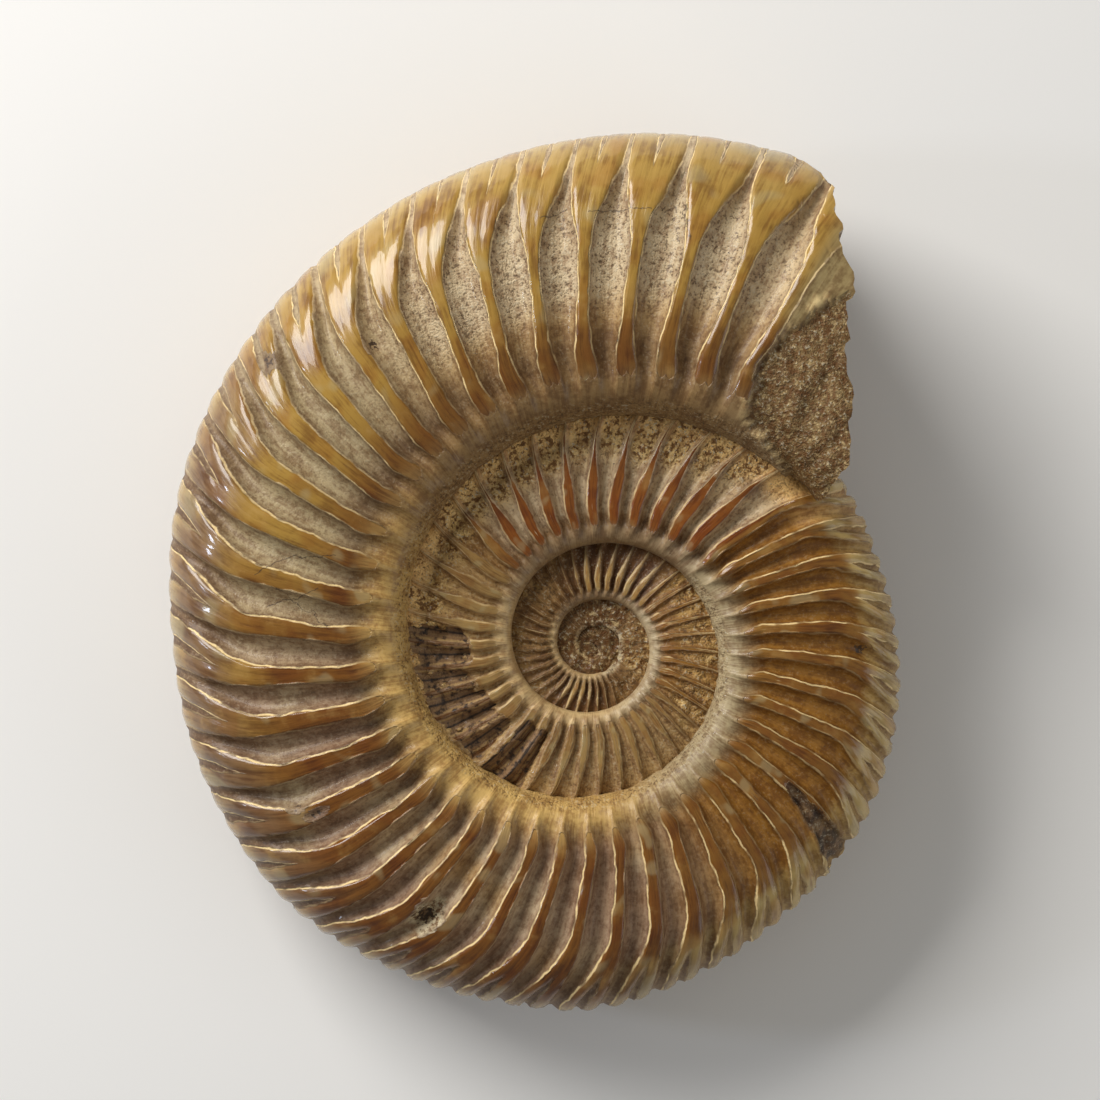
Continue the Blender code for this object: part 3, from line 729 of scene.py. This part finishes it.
def build_last_whorl(sizes, tints):
    """The open whorl: columns follow its ribs, then run into the broken mouth, closed by a rough cap."""
    coil = Coil(sizes)
    shares, sides = rows_of(coil, LAST_EVEN_ROWS, 1.0, sizes.front_rows, sizes.back_rows)
    offsets = np.array(COLUMN_OFFSETS)
    across = np.concatenate([[-0.5], -offsets[:0:-1], offsets])
    ribs = (np.arange(np.round(JOIN_RIB + 0.5), LAST_EVEN_RIB)[:, None] + across).ravel()
    ribs = np.append(ribs, LAST_EVEN_RIB)
    upright = coil.rib_angle(ribs)[:, None]
    even = upright + coil.rib_lean(upright, shares)
    part = np.linspace(0.0, 1.0, sizes.mouth_columns + 1)[1:, None]
    lip = np.interp(shares, MOUTH_SHARES, MOUTH_ANGLES)
    lip = lip + 0.5 * np.sin(shares * 41.0 + sides) + 0.3 * np.sin(shares * 97.0)
    mouth = even[-1:] + (lip - even[-1:]) * part
    angles = np.concatenate([even, mouth])
    share = np.broadcast_to(shares, angles.shape)
    past = coil.rib_number(mouth, share[len(ribs):])
    rib = np.concatenate([np.broadcast_to(ribs[:, None], even.shape), past])
    spots = Spots(coil, angles, share, np.broadcast_to(sides, angles.shape), rib)
    points = spots.flat - relief(spots)[..., None] * coil.outward(spots.angle, spots.share, spots.side)
    points = closed_rings(points, np.array([1.0, 1.0, LAST_TUCK]))
    layers = {name: closed_rings(values) for name, values in shell_layers(spots, tints).items()}
    # Cap of the mouth: the last ring drawn in to its middle, bulging and rough
    inward = np.linspace(0.0, 1.0, CAP_RINGS)[1:-1, None, None]
    ring = points[-1:]
    middle = ring.mean(axis=1, keepdims=True)
    cap = ring + (middle - ring) * inward
    turned = np.radians(MOUTH_HEADING)
    ahead = np.array([-np.sin(turned), -np.cos(turned), 0.0])
    lumps = noise(cap, 1.3 * MM, 71.0) + 0.5 * noise(cap, 0.6 * MM, 73.0)
    depth = inward[..., 0]
    bulge = 0.35 * MM * lumps * smooth(depth, 0.0, 0.15) - 0.5 * MM * np.sin(np.pi * depth * 0.9)
    cap = cap + bulge[..., None] * ahead
    grid = laid_down(np.concatenate([points, cap]))
    sharp = [0, len(points) - 1]
    stony = {"edge": -2.0, "grain": 1.05, "groove colour": np.array(tints.stone[:3])}
    for name, values in layers.items():
        extra = np.repeat(values[-1:], len(cap), axis=0)
        if name in stony:
            extra = 0.0 * extra + stony[name]
        layers[name] = np.concatenate([values, extra])
    return tube_mesh("last_whorl", grid, layers, sharp)


def build_inner_whorls(sizes, tints):
    """The covered whorls, out from the centre: the same form, up to a little past the seam on them."""
    coil = Coil(sizes)
    ends = [start for start, _ in INNER_COLUMNS[1:]] + [JOIN_RIB]
    runs = [np.arange(start, end - 0.01, 1.0 / count) for (start, count), end in zip(INNER_COLUMNS, ends)]
    ribs = np.concatenate([*runs, [JOIN_RIB]])[:, None]
    front_rows = sizes.inner_front_rows
    shares, sides = rows_of(coil, INNER_EVEN_ROWS, INNER_ROWS_END, front_rows, sizes.inner_back_rows)
    upright = coil.rib_angle(ribs)
    covered = coil.covered_share(upright) + 0.03
    share = shares / INNER_ROWS_END * np.minimum(covered, 0.97)
    angles = upright + coil.rib_lean(upright, share)
    side = np.broadcast_to(sides, angles.shape)
    spots = Spots(coil, angles, share, side, np.broadcast_to(ribs, angles.shape))
    points = spots.flat - relief(spots)[..., None] * coil.outward(spots.angle, spots.share, spots.side)
    grid = laid_down(parted_rings(points, front_rows, np.array([1.0, 1.0, INNER_TUCK])))
    layers = {name: parted_rings(values, front_rows) for name, values in shell_layers(spots, tints).items()}
    return tube_mesh("inner_whorls", grid, layers, [0, len(grid) - 1])


class Socket:
    """A shader socket that takes Python operators: each one adds its Math node."""

    def __init__(self, paint, output):
        self.paint = paint
        self.output = output

    def maths(self, operation, *values):
        return self.paint.node("Math", {"operation": operation}, dict(enumerate(values)))

    def __add__(self, other):
        return self.maths("ADD", self, other)

    def __sub__(self, other):
        return self.maths("SUBTRACT", self, other)

    def __mul__(self, other):
        return self.maths("MULTIPLY", self, other)

    def __truediv__(self, other):
        return self.maths("DIVIDE", self, other)

    def __rsub__(self, other):
        return self.maths("SUBTRACT", other, self)

    def __abs__(self):
        return self.maths("ABSOLUTE", self)

    def __pow__(self, other):
        return self.maths("POWER", self, other)

    __radd__ = __add__
    __rmul__ = __mul__

    def part(self):
        """What is left over the whole number below."""
        return self.maths("FRACT", self)

    def larger(self, other):
        return self.maths("MAXIMUM", self, other)

    def held(self):
        """Kept from 0 to 1."""
        return self.maths("MAXIMUM", self.maths("MINIMUM", self, 1.0), 0.0)

    def ramp(self, start, end):
        """0 at start, 1 at end, and an S-curve between them."""
        values = {"Value": self, "From Min": start, "From Max": end}
        return self.paint.node("MapRange", {"interpolation_type": "SMOOTHSTEP"}, values)


class Paint:
    """One material and the nodes that it is made of."""

    def __init__(self, name):
        self.material = bpy.data.materials.new(name)
        self.material.use_nodes = True
        self.tree = self.material.node_tree
        self.shader = self.tree.nodes["Principled BSDF"]

    def feed(self, socket, value):
        """Links a socket or sets its value."""
        if isinstance(value, Socket):
            self.tree.links.new(value.output, socket)
        else:
            socket.default_value = value

    def node(self, kind, settings=None, values=None, output=0):
        """One node: its settings first, then the values or links of its sockets."""
        made = self.tree.nodes.new("ShaderNode" + kind)
        for name, value in (settings or {}).items():
            setattr(made, name, value)
        for key, value in (values or {}).items():
            self.feed(made.inputs[key], value)
        return Socket(self, made.outputs[output])

    def mix(self, one, other, factor, blend="MIX"):
        """Two colours blended."""
        settings = {"data_type": "RGBA", "blend_type": blend}
        return self.node("Mix", settings, {0: factor, 6: one, 7: other}, 2)

    def stained(self, colour, stain, factor):
        """A colour multiplied by a stain where the factor says so."""
        return self.mix(colour, self.mix(colour, tint(stain), 1.0, "MULTIPLY"), factor)

    def attribute(self, name, output="Fac"):
        """A layer of the mesh: "Fac" reads its number and "Color" its colour."""
        return self.node("Attribute", {"attribute_name": name}, {}, output)

    def noise(self, place, scale, detail=2.0, roughness=0.5):
        """A noise texture: cells to a metre, octaves, and how strong the finer ones are."""
        values = {"Vector": place, "Scale": scale, "Detail": detail, "Roughness": roughness}
        return self.node("TexNoise", None, values, "Fac")

    def set(self, **values):
        """Values or links of the shader's own sockets."""
        for name, value in values.items():
            self.feed(self.shader.inputs[name.replace("_", " ")], value)


def tint(colour):
    """A stored colour as a socket takes it."""
    return tuple(colour[:3]) + (1.0,)


def crack_mask(paint, place, sizes, ragged):
    """1 on the thin cracks of the front: straight lines between two places, shaken by the ragged noise."""
    parts = paint.node("SeparateXYZ", None, {"Vector": place})
    x, y, z = [Socket(paint, parts.output.node.outputs[index]) for index in range(3)]
    total = 0.0 * x
    shake = 1.6 * MM * (ragged - 0.5)
    for first, last in crack_lines(sizes):
        run = last - first
        across = x - first[0] + shake
        up = y - first[1] + shake
        part = ((across * run[0] + up * run[1]) / (run[0] ** 2 + run[1] ** 2)).held()
        away = ((across - part * run[0]) ** 2.0 + (up - part * run[1]) ** 2.0) ** 0.5
        total = total.larger((1.0 - away / CRACK_WIDTH).ramp(0.0, 0.7))
    return total * (z - COIL_CENTRE.z).ramp(0.0, 2.0 * MM)


def fossil_material(sizes, tints):
    """Polished honey on the crests and dull, speckled mineral in the grooves, parted along the edges."""
    paint = Paint("ammonite finish")
    place = paint.node("TexCoord", None, {}, "Object")
    grain = paint.attribute("grain")
    edge = paint.attribute("edge") + 0.16 * (paint.noise(place, 1300.0, 2.0) - 0.5)
    crest = edge.ramp(-0.04, 0.07)
    # Along the ribs: streaks and blocks that are long across the coil and narrow along it
    rib = paint.attribute("rib")
    share = paint.attribute("share")
    flow = paint.node("CombineXYZ", None, {"X": rib * 12.0, "Y": share * 6.0})
    streak = paint.noise(flow, 1.0, 3.0, 0.6)
    bands = paint.node("CombineXYZ", None, {"X": rib * 1.2, "Y": share * 7.0})
    band = paint.noise(bands, 1.0, 1.0, 0.5)
    # Grooves: coarse mottling, fine grains, dark and pale specks
    coarse = paint.noise(place, 620.0, 3.0, 0.6)
    fine = paint.noise(place, 2200.0, 2.0, 0.6)
    specks = paint.noise(place, 5200.0, 1.0)
    dull = paint.attribute("groove colour", "Color")
    shade = (0.40 * coarse + 0.35 * streak + 0.25 * fine).ramp(0.40, 0.58)
    sandy = (grain - 0.85).ramp(0.0, 0.30)
    dark = (specks * 0.5 + fine * 0.5).ramp(0.47, 0.38) * grain * (1.0 - 0.7 * sandy)
    light = (specks * 0.5 + fine * 0.5).ramp(0.55, 0.63) * grain
    dull = paint.stained(dull, tints.shade, 0.85 * (1.0 - shade))
    dull = paint.mix(dull, tint(tints.dark_grain), 0.80 * dark)
    dull = paint.mix(dull, tint(tints.pale_grain), 0.60 * light)
    grit = paint.noise(place, 2300.0, 2.0, 0.6)
    dull = paint.mix(dull, tint(tints.umber), 0.85 * grit.ramp(0.50, 0.40) * sandy)
    dull = paint.mix(dull, tint(tints.gold_line), 0.45 * grit.ramp(0.55, 0.70) * sandy)
    # Broken places: dark flakes with pale ridges along the ribs, and holes with a ragged edge
    flakes = paint.noise(place, 1500.0, 2.0, 0.6)
    broken = (paint.attribute("broken") + 1.3 * (flakes - 0.5)).ramp(0.42, 0.52)
    off_crest = abs((rib + 0.5).part() - 0.5) + 0.10 * (coarse - 0.5)
    lit = flakes.ramp(0.30, 0.50) * off_crest.ramp(0.50, 0.41)
    bare = paint.mix(tint(tints.charcoal), tint(tints.bark), lit)
    bare = paint.mix(bare, tint(tints.umber), off_crest.ramp(0.10, 0.05) * streak.ramp(0.45, 0.55))
    ridge = (1.0 - abs(off_crest - 0.15) / 0.075).ramp(0.0, 0.8) * flakes.ramp(0.36, 0.56)
    flake_line = (1.0 - abs(off_crest - 0.31) / 0.040).held() * flakes.ramp(0.46, 0.56)
    bare = paint.mix(bare, tint(tints.groove_tan), 0.70 * ridge.larger(0.5 * flake_line))
    dull = paint.mix(dull, bare, 0.97 * broken)
    crumbs = paint.noise(place, 2600.0, 2.0, 0.6)
    hole = (paint.attribute("hole") + 2.2 * (crumbs - 0.5)).ramp(0.52, 0.66)
    dull = paint.mix(dull, tint(tints.bark), 0.9 * hole)
    dull = paint.mix(dull, tint(tints.charcoal), 0.8 * hole * crumbs.ramp(0.44, 0.54))
    # Crests: cloudy honey with darker streaks, redder bands and paler places
    cloud = paint.noise(place, 330.0, 4.0, 0.6)
    honey = paint.attribute("crest colour", "Color")
    stain = (0.5 * cloud + 0.5 * streak).ramp(0.46, 0.64)
    honey = paint.stained(honey, tints.shade, 0.9 * stain)
    honey = paint.stained(honey, tints.blush, 0.5 * band.ramp(0.50, 0.62))
    honey = paint.mix(honey, tint(tints.milky), 0.35 * band.ramp(0.40, 0.30))
    honey = paint.mix(honey, tint(tints.gold), 0.30 * cloud.ramp(0.45, 0.30))
    colour = paint.mix(dull, honey, crest)
    # Gold line on the crest edges: the shell's cut edge, with a painted highlight on the side that faces the
    # light
    rim_and_highlight = (1.0 - abs(edge + 0.04) / 0.11).ramp(0.1, 0.8) * paint.attribute("rim_and_highlight")
    patchy = paint.noise(place, 700.0, 1.0).ramp(0.34, 0.54)
    colour = paint.mix(colour, tint(tints.gold_line), rim_and_highlight * (0.20 + 0.75 * patchy))
    crack = crack_mask(paint, place, sizes, coarse)
    colour = paint.mix(colour, tint(tints.charcoal), 0.65 * crack)
    # Fine relief, polish and coat
    groove = 1.0 - crest
    height = 0.5 * crest + 0.30 * streak + 0.35 * rim_and_highlight
    height = height + groove * grain * (0.65 * fine + 0.75 * specks)
    normal = paint.node("Bump", None, {"Height": height, "Distance": BUMP_DEPTH, "Strength": 1.0})
    paint.set(Base_Color=colour, Normal=normal)
    paint.set(Roughness=0.26 + groove * (0.16 + 0.22 * grain), Coat_Weight=0.10 + 0.38 * crest)
    paint.set(Coat_Roughness=0.06, Coat_IOR=1.5, IOR=1.45, Metallic=0.0, Specular_IOR_Level=0.35)
    return paint.material


class AmmoniteSizes(bpy.types.PropertyGroup):
    """Sizes of the coil and its ribs."""

    outer_radius: bpy.props.FloatProperty(
        name="Outer radius", description="Radius of the outer edge at turn angle 0",
        default=27.2 * MM, unit="LENGTH")
    outer_growth: bpy.props.FloatProperty(
        name="Outer growth", description="Natural log of the outer radius's growth over a turn",
        default=0.673)
    seam_radius: bpy.props.FloatProperty(
        name="Seam radius", description="Radius of the umbilical seam at turn angle 0",
        default=10.93 * MM, unit="LENGTH")
    seam_growth: bpy.props.FloatProperty(
        name="Seam growth", description="Natural log of the seam radius's growth over a turn",
        default=0.812)
    half_width: bpy.props.FloatProperty(
        name="Half width", description="Half the whorl's thickness at turn angle 0",
        default=6.3 * MM, unit="LENGTH")
    width_growth: bpy.props.FloatProperty(
        name="Width growth", description="Natural log of the thickness's growth over a turn",
        default=0.70)
    crown_share: bpy.props.FloatProperty(
        name="Crown", description="Flank share at which the whorl is thickest", default=0.38)
    outer_squareness: bpy.props.FloatProperty(
        name="Outer squareness", description="Power of the section's outer superellipse", default=2.35)
    inner_squareness: bpy.props.FloatProperty(
        name="Inner squareness", description="Power of the umbilical wall's superellipse", default=2.9)
    groove_share: bpy.props.FloatProperty(
        name="Groove width", description="Width of a groove on the flank, as a share of the rib spacing",
        default=0.65, subtype="FACTOR")
    groove_depth: bpy.props.FloatProperty(
        name="Groove depth", description="Depth of a groove as a share of the whorl height", default=0.060)
    inner_groove_gain: bpy.props.FloatProperty(
        name="Inner groove gain", description="How much deeper the grooves inside are for their size",
        default=1.05)
    split_share: bpy.props.FloatProperty(
        name="Split", description="Flank share at which a rib splits in two",
        default=0.77, subtype="FACTOR")
    split_depth: bpy.props.FloatProperty(
        name="Split depth", description="Depth of a split as a share of the whorl height", default=0.026)
    edge_bumps: bpy.props.FloatProperty(
        name="Edge bumps", description="Height of the rounded ribs at the outer edge",
        default=0.20 * MM, unit="LENGTH")
    front_rows: bpy.props.IntProperty(
        name="Front rows", description="Rows of points up the front of the last whorl", default=68)
    back_rows: bpy.props.IntProperty(
        name="Back rows", description="Rows of points down its back", default=33)
    inner_front_rows: bpy.props.IntProperty(
        name="Inner front rows", description="Rows up the front of the whorls inside", default=50)
    inner_back_rows: bpy.props.IntProperty(
        name="Inner back rows", description="Rows down their back", default=22)
    mouth_columns: bpy.props.IntProperty(
        name="Mouth columns", description="Columns from the last whole rib to the broken mouth",
        default=44)


def colour_property(name, description, default):
    """A colour that the user can change."""
    return bpy.props.FloatVectorProperty(
        name=name, description=description, default=default, size=3, min=0.0, max=1.0, subtype="COLOR")


class AmmoniteTints(bpy.types.PropertyGroup):
    """Colours of the fossil."""

    honey: colour_property("Honey", "Polished crests on the upper left", (0.39, 0.228, 0.042))
    tawny: colour_property("Tawny", "Polished crests elsewhere", (0.26, 0.120, 0.019))
    amber: colour_property("Amber", "Orange crests below and on the right", (0.165, 0.054, 0.005))
    umber: colour_property("Umber", "Dark crests near the umbilicus", (0.130, 0.046, 0.006))
    ember: colour_property("Ember", "Red-amber windows of the second whorl", (0.225, 0.060, 0.004))
    # On the umbilical wall this tone is painted lighter where the wall turns from the light
    ochre: colour_property("Ochre", "Umbilical wall below and on the left", (0.62, 0.40, 0.13))
    blush: colour_property("Blush", "Multiplies where a crest turns redder", (0.80, 0.58, 0.40))
    mauve: colour_property("Mauve", "Dull grooves below", (0.32, 0.190, 0.115))
    bark: colour_property("Bark", "Broken places", (0.250, 0.145, 0.070))
    milky: colour_property("Milky", "Pale blocks in the crests", (0.42, 0.35, 0.18))
    rib_tan: colour_property("Rib tan", "Ribs of the whorls inside", (0.36, 0.235, 0.085))
    shade: colour_property("Shade", "Multiplies where a surface is stained", (0.52, 0.42, 0.36))
    shell: colour_property("Shell", "Bare shell near the mouth", (0.285, 0.21, 0.088))
    # Painted shade: the outer edge below and on the left
    outer_edge_shade: colour_property("Dusk", "Dark outer edge below", (0.20, 0.115, 0.055))
    gold: colour_property("Gold", "Light clouds in the honey", (0.46, 0.28, 0.085))
    gold_line: colour_property("Gold line", "Cut edge of the shell along the crests", (0.88, 0.66, 0.32))
    olive: colour_property("Olive", "Outer edge", (0.54, 0.385, 0.140))
    groove_brown: colour_property("Groove brown", "Dull grooves on the right", (0.315, 0.145, 0.024))
    groove_tan: colour_property("Groove tan", "Dull grooves on the left and below", (0.50, 0.325, 0.130))
    groove_grey: colour_property("Groove grey", "Pale grooves", (0.66, 0.53, 0.34))
    # Violet brown is partly painted shade: in the grooves towards the umbilicus and at the top of the
    # umbilical wall
    violet: colour_property("Violet brown", "Shaded grooves", (0.19, 0.112, 0.058))
    wall: colour_property("Wall", "Umbilical wall", (0.46, 0.28, 0.085))
    # On the right of the umbilical wall this is painted light, where the wall faces the light
    pale_wall: colour_property("Pale wall", "Umbilical wall on the right", (0.43, 0.345, 0.20))
    sand: colour_property("Sand", "Sediment", (0.62, 0.40, 0.135))
    stone: colour_property("Stone", "Matrix in the mouth", (0.235, 0.145, 0.053))
    # Sediment painted brighter as light, where the last whorl's wall shades it
    sand_and_painted_light: colour_property("Dust", "Sediment under the shaded wall", (0.95, 0.60, 0.22))
    chalk: colour_property("Chalk", "Crumbly ring round the biggest hole", (0.74, 0.64, 0.42))
    charcoal: colour_property("Charcoal", "Broken dark places", (0.035, 0.024, 0.02))
    dark_grain: colour_property("Dark grain", "Dark specks", (0.068, 0.040, 0.019))
    pale_grain: colour_property("Pale grain", "Pale specks", (0.52, 0.45, 0.32))


class StudioSettings(bpy.types.PropertyGroup):
    """Camera, lights and floor."""

    camera_distance: bpy.props.FloatProperty(
        name="Camera distance", description="From the coil's mid-plane", default=300.0 * MM, unit="LENGTH")
    field: bpy.props.FloatProperty(
        name="Field", description="Width of the view at the coil's mid-plane",
        default=98.2 * MM, unit="LENGTH")
    aim_x: bpy.props.FloatProperty(
        name="Aim X", description="Middle of the view from the coil's centre",
        default=-3.93 * MM, unit="LENGTH")
    aim_y: bpy.props.FloatProperty(
        name="Aim Y", description="Middle of the view from the coil's centre",
        default=8.39 * MM, unit="LENGTH")
    window_power: bpy.props.FloatProperty(
        name="Window power", description="Soft light from the upper left, in watts", default=2.75)
    fill_power: bpy.props.FloatProperty(
        name="Fill power", description="Soft light from the lower right, in watts", default=0.62)
    sky_power: bpy.props.FloatProperty(
        name="Sky power", description="Small bluish light from the left, in watts", default=0.25)
    world_strength: bpy.props.FloatProperty(
        name="World strength", description="Even light from all round", default=0.28)
    world_colour: colour_property("World", "Even light from all round", (0.84, 0.83, 0.80))
    floor_colour: colour_property("Floor", "Plain pale floor", (0.88, 0.87, 0.85))


# Lights of the studio: name, direction from the fossil, distance, size in metres and colour
LIGHTS = (
    ("window", (-0.62, 0.62, 0.52), 0.48, (0.30, 0.26), (1.0, 0.98, 0.95)),
    ("fill", (1.0, -0.35, 0.45), 0.60, (0.5, 0.3), (1.0, 1.0, 1.0)),
    ("sky", (-1.0, 0.06, 0.42), 0.45, (0.05, 0.04), (0.72, 0.82, 1.0)),
)
FLOOR_REACH = 0.6


def add_piece(name, mesh, material):
    """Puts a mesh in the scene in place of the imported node."""
    mesh.materials.append(material)
    piece = bpy.data.objects.new(name, mesh)
    bpy.context.scene.collection.objects.link(piece)
    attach(piece, "root")
    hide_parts("ammonite")
    return piece


def shared_material(sizes, tints):
    """The one material of both pieces, made by the first that asks."""
    return bpy.data.materials.get("ammonite finish") or fossil_material(sizes, tints)


class AMMONITE_OT_inner_whorls(bpy.types.Operator):
    """Builds the whorls inside the last one"""

    bl_idname = "ammonite.inner_whorls"
    bl_label = "Inner whorls"

    def execute(self, context):
        sizes = context.scene.ammonite_sizes
        tints = context.scene.ammonite_tints
        add_piece("inner_whorls", build_inner_whorls(sizes, tints), shared_material(sizes, tints))
        return {"FINISHED"}


class AMMONITE_OT_last_whorl(bpy.types.Operator):
    """Builds the last whorl with its broken mouth"""

    bl_idname = "ammonite.last_whorl"
    bl_label = "Last whorl"

    def execute(self, context):
        sizes = context.scene.ammonite_sizes
        tints = context.scene.ammonite_tints
        add_piece("last_whorl", build_last_whorl(sizes, tints), shared_material(sizes, tints))
        return {"FINISHED"}


def area_light(name, target, direction, distance, size, power, colour):
    """A rectangular light that stands off in a direction and faces the target."""
    data = bpy.data.lights.new(name, "AREA")
    data.shape = "RECTANGLE"
    data.size, data.size_y = size
    data.energy = power
    data.color = colour
    light = bpy.data.objects.new(name, data)
    bpy.context.scene.collection.objects.link(light)
    ray = Vector(direction).normalized()
    light.location = target + ray * distance
    light.rotation_euler = ray.to_track_quat("Z", "Y").to_euler()
    return light


class AMMONITE_OT_studio(bpy.types.Operator):
    """Adds the floor, the lights and the camera"""

    bl_idname = "ammonite.studio"
    bl_label = "Studio"

    def execute(self, context):
        scene = context.scene
        studio = scene.ammonite_studio
        low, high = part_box("ammonite")
        middle = (low + high) / 2.0
        mesh = bpy.data.meshes.new("floor")
        reach = FLOOR_REACH
        corners = [(-reach, -reach, 0.0), (reach, -reach, 0.0), (reach, reach, 0.0), (-reach, reach, 0.0)]
        mesh.from_pydata(corners, [], [(0, 1, 2, 3)])
        paint = Paint("floor")
        paint.set(Base_Color=tint(studio.floor_colour), Roughness=0.8)
        mesh.materials.append(paint.material)
        floor = bpy.data.objects.new("floor", mesh)
        scene.collection.objects.link(floor)
        powers = {"window": studio.window_power, "fill": studio.fill_power, "sky": studio.sky_power}
        for name, direction, distance, size, colour in LIGHTS:
            area_light(name, middle, direction, distance, size, powers[name], colour)
        world = bpy.data.worlds.new("studio")
        world.use_nodes = True
        background = world.node_tree.nodes["Background"]
        background.inputs["Color"].default_value = tint(studio.world_colour)
        background.inputs["Strength"].default_value = studio.world_strength
        scene.world = world
        scene.view_settings.view_transform = "Standard"
        data = bpy.data.cameras.new("camera")
        data.lens = data.sensor_width * studio.camera_distance / studio.field
        data.clip_start = 0.01
        camera = bpy.data.objects.new("camera", data)
        scene.collection.objects.link(camera)
        tip = tip_matrix()
        camera.location = COIL_CENTRE + tip @ Vector((studio.aim_x, studio.aim_y, studio.camera_distance))
        camera.rotation_euler = tip.to_euler()
        scene.camera = camera
        return {"FINISHED"}


class AMMONITE_PT_panel(bpy.types.Panel):
    """Lists the steps that build the ammonite"""

    bl_label = "Ammonite"
    bl_idname = "AMMONITE_PT_panel"
    bl_space_type = "VIEW_3D"
    bl_region_type = "UI"
    bl_category = "Ammonite"

    def draw(self, context):
        for operator in OPERATORS:
            self.layout.operator(operator.bl_idname)
        for group, holder in GROUPS.items():
            box = self.layout.box()
            for name in holder.__annotations__:
                box.prop(getattr(context.scene, group), name)


OPERATORS = (AMMONITE_OT_inner_whorls, AMMONITE_OT_last_whorl, AMMONITE_OT_studio)
GROUPS = {
    "ammonite_sizes": AmmoniteSizes,
    "ammonite_tints": AmmoniteTints,
    "ammonite_studio": StudioSettings,
}


def register():
    """Registers the settings, the operators and the panel."""
    for holder in (*GROUPS.values(), *OPERATORS, AMMONITE_PT_panel):
        bpy.utils.register_class(holder)
    for name, holder in GROUPS.items():
        setattr(bpy.types.Scene, name, bpy.props.PointerProperty(type=holder))


def unregister():
    """Takes them away again, the other way round."""
    for name in GROUPS:
        delattr(bpy.types.Scene, name)
    for holder in (AMMONITE_PT_panel, *OPERATORS[::-1], *list(GROUPS.values())[::-1]):
        bpy.utils.unregister_class(holder)


def main():
    """Builds both pieces and the studio."""
    register()
    bpy.ops.ammonite.inner_whorls()
    bpy.ops.ammonite.last_whorl()
    bpy.ops.ammonite.studio()


if __name__ == "__main__":
    main()
